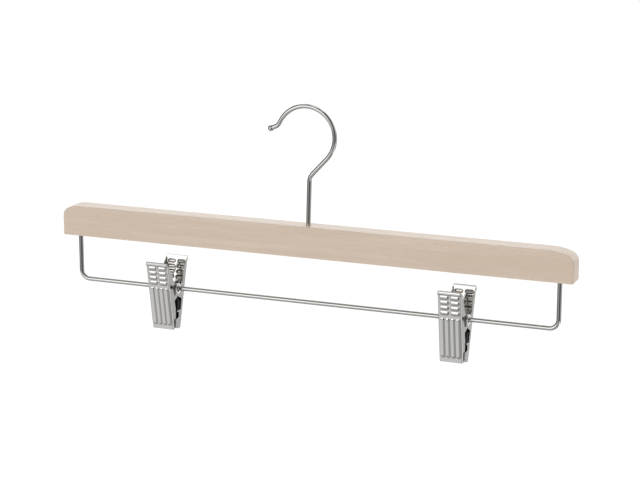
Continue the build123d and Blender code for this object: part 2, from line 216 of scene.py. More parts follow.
def plan(outers, holes, grid, clear):
    """Triangles of the area inside any of outers and outside every hole.

    grid: candidate inner points. Returns 2-D verts, triangles and boundary loops."""
    pts, edges = [], []
    for loop in list(outers) + list(holes):
        s = len(pts)
        pts += [tuple(p) for p in loop]
        edges += [(s + i, s + (i + 1) % len(loop)) for i in range(len(loop))]
    g = np.asarray(grid, float)
    if len(g):
        keep = np.zeros(len(g), bool)
        for o in outers:
            keep |= inside(o, g)
        for h in holes:
            keep &= ~inside(h, g)
        for l in list(outers) + list(holes):
            keep &= ~near(l, g, clear)
        pts += [tuple(p) for p in g[keep]]
    co, _, faces, _, _, _ = delaunay_2d_cdt([Vector(p) for p in pts], edges, [], 0, 1e-5)
    co = np.array([(v.x, v.y) for v in co])
    tris = np.array([f for f in faces if len(f) == 3])
    mid = co[tris].mean(1)
    keep = np.zeros(len(tris), bool)
    for o in outers:
        keep |= inside(o, mid)
    for h in holes:
        keep &= ~inside(h, mid)
    tris = tris[keep]
    a, b, c = co[tris[:, 0]], co[tris[:, 1]], co[tris[:, 2]]
    area = (b[:, 0] - a[:, 0]) * (c[:, 1] - a[:, 1]) - (b[:, 1] - a[:, 1]) * (c[:, 0] - a[:, 0])
    tris[area < 0] = tris[area < 0][:, ::-1]
    tris = tris[np.abs(area) > 1e-9]
    # boundary: directed edges with no partner
    seen = {}
    for t in tris:
        for i in range(3):
            seen[(int(t[i]), int(t[(i + 1) % 3]))] = True
    nxt = {p: q for (p, q) in seen if (q, p) not in seen}
    loops, left = [], dict(nxt)
    while left:
        s = next(iter(left))
        loop, p = [], s
        while p in left:
            loop.append(p)
            p = left.pop(p)
        loops.append(loop)
    return co, tris, loops


def solid_sheet(name, outers, holes, grid, clear, place, thick, bevel, seg=3, matrix=None, painted_light=None):
    """A sheet of that thickness with rounded rims. place(u, v, h) gives 3-D points, h from the middle.

    Its last argument, given (u, v, h), returns two numbers per point: painted shade in the creases, and a painted
    highlight."""
    co, tris, loops = plan(outers, holes, grid, clear)
    used = np.unique(tris)
    index = -np.ones(len(co), int)
    index[used] = np.arange(len(used))
    n = len(used)
    flat = co[used].copy()
    normals = {}
    for loop in loops:
        p = co[loop]
        e = np.roll(p, -1, axis=0) - p
        e /= np.maximum(np.linalg.norm(e, axis=1), 1e-9)[:, None]
        out = np.stack([e[:, 1], -e[:, 0]], 1)
        vn = out + np.roll(out, 1, axis=0)
        ln = np.linalg.norm(vn, axis=1)
        vn /= np.maximum(ln, 1e-6)[:, None]
        cosh = np.clip((vn * out).sum(1), 0.5, 1)
        for i, v in enumerate(loop):
            normals[v] = vn[i] / cosh[i]
    for v, nv in normals.items():
        flat[index[v]] -= nv * bevel
    half = thick / 2
    verts = [place(flat[:, 0], flat[:, 1], np.full(n, half)), place(flat[:, 0], flat[:, 1], np.full(n, -half))]
    tr = index[tris]
    faces = [tuple(t) for t in tr] + [tuple(n + x for x in reversed(t)) for t in tr]
    base = 2 * n
    quarter = [(bevel * math.sin(math.pi / 2 * k / seg), half - bevel + bevel * math.cos(math.pi / 2 * k / seg))
               for k in range(1, seg + 1)]
    rings = quarter + [(o, -h) for o, h in reversed(quarter)]
    extra = []
    marks = [np.column_stack([flat, np.full(n, half)]), np.column_stack([flat, np.full(n, -half)])]
    for loop in loops:
        m = len(loop)
        rows = [[int(index[v]) for v in loop]]
        for o, h in rings:
            uvp = np.array([co[v] + normals[v] * (o - bevel) for v in loop])
            extra.append(place(uvp[:, 0], uvp[:, 1], np.full(m, h)))
            marks.append(np.column_stack([uvp, np.full(m, h)]))
            rows.append(list(range(base, base + m)))
            base += m
        rows.append([n + int(index[v]) for v in loop])
        for r0, r1 in zip(rows, rows[1:]):
            for i in range(m):
                j = (i + 1) % m
                faces.append((r0[i], r1[i], r1[j], r0[j]))
    verts = np.concatenate(verts + extra)
    # outward faces, whichever way place() turns
    a, b, c = verts[faces[0][0]], verts[faces[0][1]], verts[faces[0][2]]
    up = place(*[np.array([x]) for x in (*co[tris[0]].mean(0), half + 0.01)])[0] - \
        place(*[np.array([x]) for x in (*co[tris[0]].mean(0), half)])[0]
    if np.dot(np.cross(b - a, c - a), up) < 0:
        faces = [tuple(reversed(f)) for f in faces]
    marks = np.concatenate(marks)
    painted_light_marks = None if painted_light is None else painted_light(marks[:, 0], marks[:, 1], marks[:, 2])
    return make_mesh(name, verts, faces, matrix, None, painted_light_marks)


def sample_line(p, q, step):
    p, q = Vector(p), Vector(q)
    k = max(1, int(math.ceil((q - p).length / step)))
    return [p.lerp(q, i / k) for i in range(k)]


def sample_arc(c, r, a0, a1, step_deg=4.0):
    """Arc in the XZ plane, from angle a0 to a1 in degrees, without its last point."""
    k = max(2, int(abs(a1 - a0) / step_deg))
    return [Vector((c[0] + r * math.cos(math.radians(a0 + (a1 - a0) * i / k)), 0,
                    c[1] + r * math.sin(math.radians(a0 + (a1 - a0) * i / k)))) for i in range(k)]


def fillet_path(points, radii, step=3.0, arc_deg=6.0):
    """Open path of straight runs joined by tangent arcs."""
    pts = [Vector(p) for p in points]
    out = []
    here = pts[0]
    for i in range(1, len(pts) - 1):
        a = (pts[i - 1] - pts[i]).normalized()
        b = (pts[i + 1] - pts[i]).normalized()
        turn = math.pi - a.angle(b)
        r = radii[i - 1]
        t = r * math.tan(turn / 2)
        p, q = pts[i] + a * t, pts[i] + b * t
        c = pts[i] + (a + b).normalized() * (r / math.cos(turn / 2))
        out += sample_line(here, p, step)
        k = max(2, int(math.degrees(turn) / arc_deg))
        s0, e0 = p - c, q - c
        for j in range(k):
            ang = turn * j / k
            out.append(c + (math.sin(turn - ang) * s0 + math.sin(ang) * e0) / math.sin(turn))
        here = q
    out += sample_line(here, pts[-1], step)
    out.append(pts[-1])
    return out


def tube(name, path, radius, sides=28, start=(), end=(), matrix=None, flat_start=False, flat_end=False):
    """Round bar along path. start and end are (distance beyond the end, radius) pairs that shape its ends."""
    path = [Vector(p) for p in path]
    n = len(path)
    tan = []
    for i in range(n):
        d = (path[min(i + 1, n - 1)] - path[max(i - 1, 0)]).normalized()
        tan.append(d)
    rows = []
    for s, r in reversed(start):
        rows.append((path[0] - tan[0] * s, tan[0], r))
    for p, t in zip(path, tan):
        rows.append((p, t, radius))
    for s, r in end:
        rows.append((path[-1] + tan[-1] * s, tan[-1], r))
    ref = Vector((0, 1, 0))
    if abs(rows[0][1].dot(ref)) > 0.9:
        ref = Vector((1, 0, 0))
    normal = (ref - rows[0][1] * ref.dot(rows[0][1])).normalized()
    verts, uv, faces = [], [], []
    prev, dist = rows[0], 0.0
    for row in rows:
        p, t, r = row
        axis = prev[1].cross(t)
        if axis.length > 1e-9:
            normal = Matrix.Rotation(prev[1].angle(t), 3, axis.normalized()) @ normal
        normal = (normal - t * normal.dot(t)).normalized()
        side = t.cross(normal)
        dist += (p - prev[0]).length
        for j in range(sides):
            a = 2 * math.pi * j / sides
            verts.append(p + normal * (r * math.cos(a)) + side * (r * math.sin(a)))
            uv.append((dist * MM, j / sides))
        prev = row
    m = len(rows)
    for i in range(m - 1):
        for j in range(sides):
            k = (j + 1) % sides
            faces.append((i * sides + j, i * sides + k, (i + 1) * sides + k, (i + 1) * sides + j))
    faces.append(tuple(reversed(range(sides))))
    faces.append(tuple((m - 1) * sides + j for j in range(sides)))
    return make_mesh(name, [tuple(v) for v in verts], faces, matrix, uv)


def lathe(name, profile, sides=64, matrix=None):
    """Closed profile of (x, r) points turned about the x axis."""
    verts, faces = [], []
    n = len(profile)
    for j in range(sides):
        a = 2 * math.pi * j / sides
        for x, r in profile:
            verts.append((x, r * math.cos(a), r * math.sin(a)))
    for j in range(sides):
        k = (j + 1) % sides
        for i in range(n):
            l = (i + 1) % n
            faces.append((j * n + i, j * n + l, k * n + l, k * n + i))
    return make_mesh(name, verts, faces, matrix)


def join(objs, name):
    """One object from several, its mesh in the row frame."""
    verts, faces, uvs, painted_light_marks, base = [], [], [], [], 0
    has_uv = all(o.data.uv_layers for o in objs)
    # the attribute of painted shade and painted highlight is carried over when every piece has it
    has_painted_light = all("painted_light" in o.data.color_attributes for o in objs)
    for o in objs:
        me = o.data
        co = np.zeros(len(me.vertices) * 3)
        me.vertices.foreach_get("co", co)
        verts.append(co.reshape(-1, 3))
        faces += [tuple(base + v for v in p.vertices) for p in me.polygons]
        if has_uv:
            per = np.zeros((len(me.vertices), 2))
            idx = np.zeros(len(me.loops), np.int32)
            me.loops.foreach_get("vertex_index", idx)
            u = np.zeros(len(me.loops) * 2)
            me.uv_layers[0].data.foreach_get("uv", u)
            per[idx] = u.reshape(-1, 2)
            uvs.append(per)
        if has_painted_light:
            col = np.zeros(len(me.vertices) * 4)
            me.color_attributes["painted_light"].data.foreach_get("color", col)
            painted_light_marks.append(col.reshape(-1, 4)[:, :2])
        base += len(me.vertices)
        bpy.data.objects.remove(o)
    return make_mesh(name, np.concatenate(verts), faces, None, np.concatenate(uvs) if has_uv else None,
                     np.concatenate(painted_light_marks) if has_painted_light else None)


# ------------------------------------------------------------------ clip stamping
HALF = SHELL_W / 2
FLAT = HALF - BEND_R                  # half width of the flat plate
RM = BEND_R - SHEET / 2               # bend radius at the sheet's middle
ARC = RM * math.pi / 2
SIN, COS = math.sin(LEAN), math.cos(LEAN)
Y0 = TIP_Y + SLOPE * (0 - TIP_ZZ)     # plate's outer face at the pivot's height
V_TOP = 21.75
V_LOW = -30.35
V_LIP = 19.2                          # where the finger lip starts
LIP_R = 26.0
LIP_HALF = 8.3
LIP_V, LIP_W, LIP_H = 19.95, 1.15, 0.36   # the lip's rolled bead, outside only
BEAD_Z = (16.65, 12.98, 9.31, 5.64)
BEAD_X, BEAD_RUN, BEAD_W, BEAD_H = 3.8, 3.7, 1.45, 0.56
RIB_PITCH, RIB_TOP, RIB_LOW, RIB_W, RIB_H = 3.7, 0.6, -24.8, 1.7, 0.5


def to_uv(y, z, side):
    """Side-view point of a flange to its place on the flat blank."""
    v = (y + Y0) * -SIN + z * COS
    d = (y + Y0) * COS + z * SIN
    w = d - BEND_R
    if w >= 0:
        u = FLAT + ARC + w
    else:
        u = FLAT + RM * math.acos(min(1.0, max(-1.0, (BEND_R - d) / RM)))
    return side * u, v


def press(u, v, lip=1.0):
    """How far the sheet is pressed out at that place of the blank."""
    h = np.zeros_like(u)
    for z in BEAD_Z:
        vz = z / COS
        for x in (-BEAD_X, BEAD_X):
            du = np.maximum(np.abs(u - x) - BEAD_RUN / 2, 0)
            s = np.sqrt(du * du + (v - vz) ** 2) / BEAD_W
            h = np.maximum(h, BEAD_H * np.clip(1 - s * s, 0, 1) ** 1.1)
    top, low = RIB_TOP / COS, RIB_LOW / COS
    for k in (-1.5, -0.5, 0.5, 1.5):
        dv = np.maximum(np.maximum(v - top, low - v), 0)
        s = np.sqrt(dv * dv + (u - k * RIB_PITCH) ** 2) / RIB_W
        h = np.maximum(h, RIB_H * np.clip(1 - s * s, 0, 1) ** 1.1)
    s = (v - LIP_V) / LIP_W
    ends = np.clip((LIP_HALF + 0.2 - np.abs(u)) / 1.2, 0, 1)
    h = np.maximum(h, lip * LIP_H * np.clip(1 - s * s, 0, 1) ** 1.1 * ends * ends * (3 - 2 * ends))
    return h


def sheet_painted_light(u, v, h):
    """Painted shade along the beads' and ribs' feet and under the lip; a painted highlight on the lip itself."""
    painted_shade, painted_highlight = np.zeros_like(u), np.zeros_like(u)
    out = h > 0
    # painted shade round the beads' feet, strongest round their hollows on the inside face
    for z in BEAD_Z:
        for x in (-BEAD_X, BEAD_X):
            du = np.maximum(np.abs(u - x) - BEAD_RUN / 2, 0)
            r = np.sqrt(du * du + (v - z / COS) ** 2)
            painted_shade = np.maximum(painted_shade, np.where(out, 0.3, 1.0) * np.clip(1 - np.abs(r - BEAD_W) / 0.36, 0, 1))
    # painted shade along the ribs' feet
    for k in (-1.5, -0.5, 0.5, 1.5):
        dv = np.maximum(np.maximum(v - RIB_TOP / COS, RIB_LOW / COS - v), 0)
        r = np.sqrt(dv * dv + (u - k * RIB_PITCH) ** 2)
        painted_shade = np.maximum(painted_shade, 0.35 * np.clip(1 - np.abs(r - RIB_W) / 0.34, 0, 1))
    # painted shade: a dark line under the lip's bead, on the outside only
    low = LIP_V - LIP_W
    painted_shade = np.maximum(painted_shade, np.where(out, np.clip(1 - np.abs(v - low) / 0.4, 0, 1), 0))
    # painted shade: a darker band along the lip's top edge and its ends, stronger on the inside face
    rim = np.maximum(v - V_TOP + 0.75, np.where(v > V_LIP + 0.2, np.abs(u) - LIP_HALF + 0.7, -1))
    painted_shade = np.maximum(painted_shade, np.where(out, 0.25, 0.8) * np.clip(rim / 0.3, 0, 1))
    # painted highlight: a brighter band along the lip's bead, on the outside only
    painted_highlight = np.where(out & (np.abs(v - LIP_V - 0.3) < 0.6), 1.0, 0.0)
    return np.stack([painted_shade, painted_highlight], 1)


def mid_surface(u, v, rim=1.0):
    """The bent sheet's middle surface: front jaw, clip coordinates."""
    s = np.sign(u)
    au = np.abs(u)
    # the bend opens out towards the finger lip
    f = np.clip((V_LIP + 0.8 - v) / 1.7, 0.02, 1)
    f = f * f * (3 - 2 * f)
    f = np.maximum(f, 0.02)
    rad = RM / f
    th = np.clip((au - FLAT) / rad, 0, math.pi / 2 * f)
    past = np.maximum(au - FLAT - ARC, 0)
    x = np.where(au <= FLAT, au, FLAT + rad * np.sin(th) + past * np.cos(th))
    depth = SHEET / 2 + rad * (1 - np.cos(th)) + past * np.sin(th)
    depth = np.where(au <= FLAT, SHEET / 2, depth)
    # the lip curls outwards
    over = np.maximum(v - V_LIP, 0)
    beta = over / LIP_R
    along = np.minimum(v, V_LIP) + LIP_R * np.sin(beta)
    out = LIP_R * (1 - np.cos(beta))
    # directions in the side view: t up the plate, n outwards
    ny, nz = -COS * np.cos(beta) + SIN * np.sin(beta), -SIN * np.cos(beta) - COS * np.sin(beta)
    y = -Y0 - SIN * along - COS * out
    z = COS * along - SIN * out
    lift = press(u, v, rim) - depth
    return np.stack([s * x, y + ny * lift, z + nz * lift], -1)


def place_sheet(u, v, h):
    e = 0.02
    rim = np.where(h < 0, 0.0, 1.0)
    p = mid_surface(u, v, rim)
    du = mid_surface(u + e, v, rim) - mid_surface(u - e, v, rim)
    dv = mid_surface(u, v + e, rim) - mid_surface(u, v - e, rim)
    n = np.cross(du, dv)
    n /= np.maximum(np.linalg.norm(n, axis=1), 1e-9)[:, None]
    # outwards is away from the jaw's hollow: -y on the plate
    ref = np.stack([np.where(np.abs(u) > FLAT + ARC / 2, np.sign(u), 0 * u), np.where(np.abs(u) > FLAT + ARC / 2, 0, -1.0), 0 * u], -1)
    n *= np.where((n * ref).sum(1) < 0, -1, 1)[:, None]
    return p + n * h[:, None]


def blank():
    """Outline, ears, holes and inner points of the flat blank."""
    wide = [(-13.3, 18.3), (-10.4, 14.9), (-9.0, 12.4), (-8.5, 9.4), (-8.1, 6.0), (-7.2, 3.3),
            (-5.1, 1.9), (-2.9, 1.9), (1.2, 1.2),
            (3.75, -1.7), (3.3, -4.3), (-6.0, -8.2), (-4.7, -16.3), (0.9, -16.2), (0.9, -17.15),
            (-1.5, -17.5), (-1.5, -21.4), (3.2, -22.4),
            (3.3, -28.4), (0.2, -29.5), (-3.4, -29.6)]
    wide_r = [1.3, 2.6, 4, 8, 6, 1.6, 0.8, 0, 0, 0, 0.9, 0.8, 0.5, 0.3, 0.3, 0.5, 0.5, 0.5, 2.6, 1.0, 1.0]
    narrow = [(-14.0, 18.4), (-9.9, 14.4), (-8.3, 11.2), (-6.7, 8.2), (-4.6, 5.1), (-1.4, 3.5), (1.2, 1.2),
              (4.0, -0.6), (5.2, -4.1), (-4.0, -8.3), (-1.6, -15.7), (-2.0, -22.5),
              (-2.4, -28.0), (-3.6, -29.2)]
    narrow_r = [1.3, 2.6, 8, 8, 5, 0, 0, 0, 0.9, 0.8, 9, 9, 1.2, 0.8]
    right = [to_uv(y, z, 1) for y, z in narrow]
    left = [to_uv(y, z, -1) for y, z in wide]
    pts = [(LIP_HALF, V_TOP), (LIP_HALF, V_LIP + 0.9)] + right + [(FLAT + 0.35, V_LOW)]
    rad = [2.0, 0.5] + narrow_r + [1.2]
    pts += [(-FLAT - 0.35, V_LOW)] + left[::-1] + [(-LIP_HALF, V_LIP + 0.9), (-LIP_HALF, V_TOP)]
    rad += [1.2] + wide_r[::-1] + [0.5, 2.0]
    outline = densify(rounded(pts, rad, 9), 0.55)
    eu, ev = to_uv(0, 0, 1)
    ears = [circle(eu, ev, EAR_R, 56), circle(-eu, ev, EAR_R, 56)]
    holes = [circle(eu, ev, EAR_HOLE, 48), circle(-eu, ev, EAR_HOLE, 48)]
    # slit in the narrow flange
    su, sv = to_uv(-6.85, 2.15, 1)
    a = to_uv(-9.8, 2.8, 1)
    b = to_uv(-3.9, 1.5, 1)
    ang = math.atan2(b[1] - a[1], b[0] - a[0])
    holes.append(capsule_loop(su, sv, 4.7, 0.65, ang))
    # inner points: fine across the plate and its bends, coarser on the flanges
    us = list(np.arange(-FLAT, FLAT + 0.01, FLAT / 26))
    for k in range(1, 6):
        us += [FLAT + ARC * k / 5, -FLAT - ARC * k / 5]
    k = FLAT + ARC + 0.5
    while k < 26:
        us += [k, -k]
        k += 0.7
    us = np.array(sorted(us))
    vs = np.arange(V_LOW + 0.3, V_TOP, 0.29)
    fine = [(u, v) for i, v in enumerate(vs) for u in us if abs(u) <= FLAT + ARC + 0.01]
    rough = [(u, v) for v in vs[::2] for u in us if abs(u) > FLAT + ARC + 0.01]
    return [outline] + ears, holes, fine + rough


def stamping(name, matrix):
    outers, holes, grid = blank()
    body = solid_sheet(name + "_sheet", outers, holes, grid, 0.16, place_sheet, SHEET, 0.11, 3, matrix, sheet_painted_light)
    # folded tab that holds the pad, square to the plate
    pts = [(SHELL_SHIFT - TAB_WIDE, -7.2), (SHELL_SHIFT + TAB_X, -7.2), (SHELL_SHIFT + TAB_X, -TAB_TIP), (SHELL_SHIFT - TAB_WIDE, -TAB_TIP)]
    loop = densify(rounded(pts, [0, 0, 0.5, 0.5], 6), 1.2)

    def place_tab(u, v, h):
        return np.stack([u, v - SIN * h, -16.0 - SHEET / 2 / COS + 0.2325 * v + COS * h], -1)

    tab = solid_sheet(name + "_tab", [loop], [], [], 0.1, place_tab, SHEET, 0.12, 3, matrix,
                      lambda u, v, h: np.zeros((len(u), 2)))
    return join([body, tab], name)


# ------------------------------------------------------------------ the pieces
def build_hook():
    ang = math.radians(47.0)
    ux, uz = math.cos(ang), math.sin(ang)
    tan_pt = (HOOK_CX + HOOK_R * uz, HOOK_CZ - HOOK_R * ux)
    s = (tan_pt[0] - STEM_X - 0.9) / ux
    meet = (STEM_X + 0.9, tan_pt[1] - s * uz)
    a_end = 151.0
    ar = math.radians(a_end)
    end = (HOOK_CX + HOOK_R * math.cos(ar), HOOK_CZ + HOOK_R * math.sin(ar))
    a_start = math.degrees(math.atan2(tan_pt[1] - HOOK_CZ, tan_pt[0] - HOOK_CX))
    dx, dz = -math.sin(ar), math.cos(ar)
    out = math.radians(203.0)
    ox, oz = math.cos(out), math.sin(out)
    det = dx * (-oz) - (-ox) * dz
    bx, bz = TIP_X - end[0], TIP_Z - end[1]
    k = (bx * (-oz) - (-ox) * bz) / det
    corner = (end[0] + dx * k, end[1] + dz * k)
    low = fillet_path([(STEM_X, 0, 3.9), (STEM_X, 0, 24), (meet[0], 0, meet[1]), (tan_pt[0], 0, tan_pt[1])], [60, 8.5], 2.5, 4)[:-1]
    crown = sample_arc((HOOK_CX, HOOK_CZ), HOOK_R, a_start, a_end, 3.0)
    tip = fillet_path([(end[0], 0, end[1]), (corner[0], 0, corner[1]), (TIP_X - ox * 0.9, 0, TIP_Z - oz * 0.9)], [6.0], 1.0, 4)
    # the ball: drawn as rings beyond the wire's end
    ball = []
    R = TIP_BALL_R
    first = math.asin(WIRE_R / R)
    for i in range(1, 17):
        a = math.pi - first - 0.02 - (math.pi - first - 0.02) * i / 16
        # a runs from just under pi - first down to 0, measured from the outward axis
        ball.append((0.9 + R * math.cos(a), max(0.02, R * math.sin(a))))
    start_d = 0.9 + R * math.cos(math.pi - first)
    ends = [(d, r) for d, r in ball if d > start_d]
    head = [(0.0, 2.55), (0.15, 2.7), (0.9, 2.7), (1.4, 2.45), (1.6, 2.0), (1.62, 0.02)]
    return tube("hook_wire", low + crown + tip, WIRE_R, 32, head, ends, row_matrix())


def build_frame():
    pts = [(-FRAME_A, 0, FRAME_IN), (-FRAME_A, 0, -FRAME_H), (FRAME_A, 0, -FRAME_H), (FRAME_A, 0, FRAME_IN)]
    return tube("wire_frame_bent", fillet_path(pts, [FRAME_R, FRAME_R], 6.0, 5.0), WIRE_R, 32, (), (), row_matrix())


def build_rivet(side):
    half = SHELL_W / 2 + SHELL_SHIFT + 0.05
    prof = []
    # bore, then the rolled head at +x, the outside of the tube, the head at -x
    e = half + RIVET_HEAD_T
    rr = RIVET_HEAD_T * 0.62

    def arc(cx, cr, r, a0, a1, n=6):
        return [(cx + r * math.cos(math.radians(a0 + (a1 - a0) * i / n)), cr + r * math.sin(math.radians(a0 + (a1 - a0) * i / n))) for i in range(n + 1)]

    prof += [(-e + 0.7, RIVET_IN), (e - 0.7, RIVET_IN)]
    prof += arc(e - 0.7, RIVET_IN + 0.7, 0.7, -90, 0)[1:]
    prof += arc(e - rr, RIVET_HEAD_R - rr, rr, 0, 90)
    prof += [(half + 0.02, RIVET_HEAD_R), (half, RIVET_HEAD_R - 0.05), (half, RIVET_OUT + 0.02)]
    other = [(-x, r) for x, r in reversed(prof[1:])]
    return lathe(f"{side}_eyelet", prof[1:] + other, 64, clip_matrix(side))


def build_spring(side):
    """Coil with the rear arm, and the front arm with its last part turn."""
    m = clip_matrix(side)
    turns = 4
    x_end = 2.13
    ty = SHEET / COS
    zt = 16.5
    r = SPRING_WIRE / 2
    plate = TIP_Y + SLOPE * (zt - TIP_ZZ)
    y_top = plate - ty - r - 0.12

    def tangent_angle(s):
        dist = math.hypot(y_top, zt)
        base = math.atan2(zt, s * y_top)
        off = math.acos(SPRING_R / dist)
        return base - off if s < 0 else base + off

    # front arm: leaves the coil at -x_end; rear arm: at x_end
    af, ab = tangent_angle(-1), tangent_angle(1)
    # the coil runs from the rear arm's tangent point round to the front arm's
    direction = -1
    total = turns * 2 * math.pi + ((ab - af) % (2 * math.pi))
    n = int(total / math.radians(9))
    coil = [Vector((x_end - 2 * x_end * i / n, SPRING_R * math.cos(ab + direction * total * i / n), SPRING_R * math.sin(ab + direction * total * i / n))) for i in range(n + 1)]
    split = int(n * (1 - (math.pi * 0.55) / total))
    foot = 6.4

    def arm(s, x, start):
        top = Vector((x, s * y_top, zt))
        tip = Vector((s * foot, s * y_top, zt))
        return fillet_path([start, top, tip], [1.0], 1.5, 15)

    front = coil[split:] + arm(-1, -x_end, coil[-1])[1:]
    rear = list(reversed(arm(1, x_end, coil[0])[1:])) + coil
    a = tube(f"{side}_spring_coil", rear, r, 16, (), (), m)
    b = tube(f"{side}_spring_front_arm", front, r * 0.985, 16, (), (), m)
    return a, b


def build_pad(side, which):
    ty = SHEET / COS

    def back(z):
        return -(TIP_Y + SLOPE * (z - TIP_ZZ)) + ty + 0.04

    gap = 0.03
    pts = [(back(-6.3) + 0.5, -6.3), (-1.6, -6.3), (-0.6, -12.0), (-0.3, -17.5), (-0.12, -21.4)]
    rad = [0.5, 0.8, 4, 6, 1.0]
    for z in (-22.2, -24.6, -27.0):
        pts += [(-0.12, z), (-0.62, z - 0.6), (-0.12, z - 1.2)]
        rad += [0.15, 0.2, 0.15]

    def tab_z(y):
        return -16.0 - 0.2325 * y

    pts += [(-0.12, -29.25), (back(-29.25), -29.25), (back(-25.7), -25.7), (-5.1, -25.2),
            (-5.1, tab_z(5.1) - ty - gap), (-TAB_TIP + gap, tab_z(TAB_TIP) - ty - gap),
            (-TAB_TIP + gap, tab_z(TAB_TIP) + gap), (back(-17.58), -17.58)]
    rad += [0.4, 0.4, 0.5, 0.5, 0.3, 0.1, 0.1, 0.1]
    m = clip_matrix(side)
    if which == "rear":
        m = m @ Matrix.Rotation(math.pi, 4, "Z")

    def piece(tag, pts, rad, x0, x1):
        loop = densify(rounded(pts, rad, 6), 0.9)
        return solid_sheet(f"{side}_{which}_{tag}", [loop], [], [], 0.1,
                           lambda u, v, h: np.stack([h + (x0 + x1) / 2, u, v], -1), x1 - x0, 0.2, 3, m)

    body = piece("grip", pts, rad, -PAD_X, PAD_X)
    # black rubber ear beside the pivot, behind the slit, a guess: a dark piece put there so that the slit reads dark,
    # standing in for the shade inside the clip
    slit_shade_ear = piece("slit_shade_ear", [(back(3.2), 3.2), (-5.2, 3.2), (-5.2, -7.0), (back(-7.0), -7.0)], [0.3, 0.8, 0, 0], 3.6, PAD_X)
    # rubber that bulges over the tab, beside the wide flange
    bulge = piece("bulge", [(back(-9.6) + 0.5, -9.6), (-1.3, -9.6), (-0.9, -16.05), (-6.3, -17.3)],
                  [0.6, 0.6, 0.3, 0.3], -8.06, -6.6)
    return join([body, slit_shade_ear, bulge], f"{side}_{which}_rubber")


# ------------------------------------------------------------------ node helpers
class Graph:
    """Short way to write node trees."""

    def __init__(self, tree):
        self.t = tree

    def node(self, kind, **props):
        n = self.t.nodes.new(kind)
        for k, v in props.items():
            setattr(n, k, v)
        return n

    def put(self, socket, value):
        if isinstance(value, bpy.types.NodeSocket):
            self.t.links.new(value, socket)
        elif isinstance(value, (tuple, list)) and len(value) == 3 and socket.type == "RGBA":
            socket.default_value = (*value, 1.0)
        else:
            socket.default_value = value

    def math(self, op, a, b=0.0, c=0.0, clamp=False):
        n = self.node("ShaderNodeMath", operation=op, use_clamp=clamp)
        self.put(n.inputs[0], a)
        if len(n.inputs) > 1:
            self.put(n.inputs[1], b)
        if len(n.inputs) > 2:
            self.put(n.inputs[2], c)
        return n.outputs[0]

    def ramp(self, x, a0, a1, b0, b1, smooth=True):
        n = self.node("ShaderNodeMapRange", interpolation_type="SMOOTHSTEP" if smooth else "LINEAR", clamp=True)
        for i, v in enumerate((x, a0, a1, b0, b1)):
            self.put(n.inputs[i], v)
        return n.outputs[0]

    def mix(self, f, a, b, mode="MIX"):
        n = self.node("ShaderNodeMix", data_type="RGBA", blend_type=mode)
        self.put(n.inputs[0], f)
        self.put(n.inputs[6], a)
        self.put(n.inputs[7], b)
        return n.outputs[2]

    def mapping(self, v, scale=(1, 1, 1), loc=(0, 0, 0), rot=(0, 0, 0)):
        n = self.node("ShaderNodeMapping")
        self.put(n.inputs[0], v)
        n.inputs[1].default_value = loc
        n.inputs[2].default_value = rot
        n.inputs[3].default_value = scale
        return n.outputs[0]

    def noise(self, v, scale, detail=3.0, rough=0.5, dist=0.0):
        n = self.node("ShaderNodeTexNoise")
        self.put(n.inputs["Vector"], v)
        n.inputs["Scale"].default_value = scale
        n.inputs["Detail"].default_value = detail
        n.inputs["Roughness"].default_value = rough
        n.inputs["Distortion"].default_value = dist
        return n.outputs["Fac"]

    def voronoi(self, v, scale, feature="F1", rand=1.0):
        n = self.node("ShaderNodeTexVoronoi", feature=feature)
        self.put(n.inputs["Vector"], v)
        n.inputs["Scale"].default_value = scale
        n.inputs["Randomness"].default_value = rand
        return n.outputs["Distance"]

    def bump(self, height, strength, distance, normal=None):
        n = self.node("ShaderNodeBump")
        n.inputs["Strength"].default_value = strength
        n.inputs["Distance"].default_value = distance
        self.put(n.inputs["Height"], height)
        if normal is not None:
            self.put(n.inputs["Normal"], normal)
        return n.outputs[0]


def material(name):
    m = bpy.data.materials.new(name)
    m.use_nodes = True
    g = Graph(m.node_tree)
    bsdf = m.node_tree.nodes["Principled BSDF"]
    return m, g, bsdf


def coords(g, kind="Object"):
    return g.node("ShaderNodeTexCoord").outputs[kind]


# ------------------------------------------------------------------ materials
def wood_material():
    m, g, b = material("pale_wood")
    co = coords(g)
    # long soft figure, fine fibres and short dark rays, all drawn out along the bar
    broad = g.noise(g.mapping(co, (3.0, 30.0, 30.0), (0.3, 0.1, 0.7)), 3.0, 3, 0.5, 0.3)
    bands = g.noise(g.mapping(co, (1.6, 70.0, 90.0), (1.7, 0.4, 0.2)), 3.0, 4, 0.55, 0.25)
    fibre = g.noise(g.mapping(co, (40.0, 1400.0, 1400.0)), 1.6, 2, 0.6, 0.0)
    rays = g.noise(g.mapping(co, (260.0, 2600.0, 2300.0)), 1.0, 1, 0.5, 0.0)
    ray = g.ramp(rays, 0.66, 0.76, 0.0, 1.0)
    base = g.mix(g.ramp(broad, 0.32, 0.68, 0.0, 1.0), (0.890, 0.722, 0.578), (0.940, 0.785, 0.645))
    base = g.mix(g.ramp(bands, 0.35, 0.7, 0.0, 0.45), base, (0.850, 0.680, 0.530))
    base = g.mix(g.ramp(fibre, 0.35, 0.65, 0.0, 0.22), base, (0.690, 0.540, 0.420))
    base = g.mix(g.math("MULTIPLY", ray, 0.28), base, (0.50, 0.36, 0.26))
    g.put(b.inputs["Base Color"], base)
    g.put(b.inputs["Roughness"], g.ramp(bands, 0.3, 0.7, 0.40, 0.52))
    b.inputs["Specular IOR Level"].default_value = 0.42
    b.inputs["Coat Weight"].default_value = 0.5
    b.inputs["Coat Roughness"].default_value = 0.24
    b.inputs["Coat IOR"].default_value = 1.5
    h = g.math("ADD", g.math("MULTIPLY", fibre, 0.7), g.math("MULTIPLY", ray, -0.6))
    g.put(b.inputs["Normal"], g.bump(h, 0.25, 0.00006))
    return m


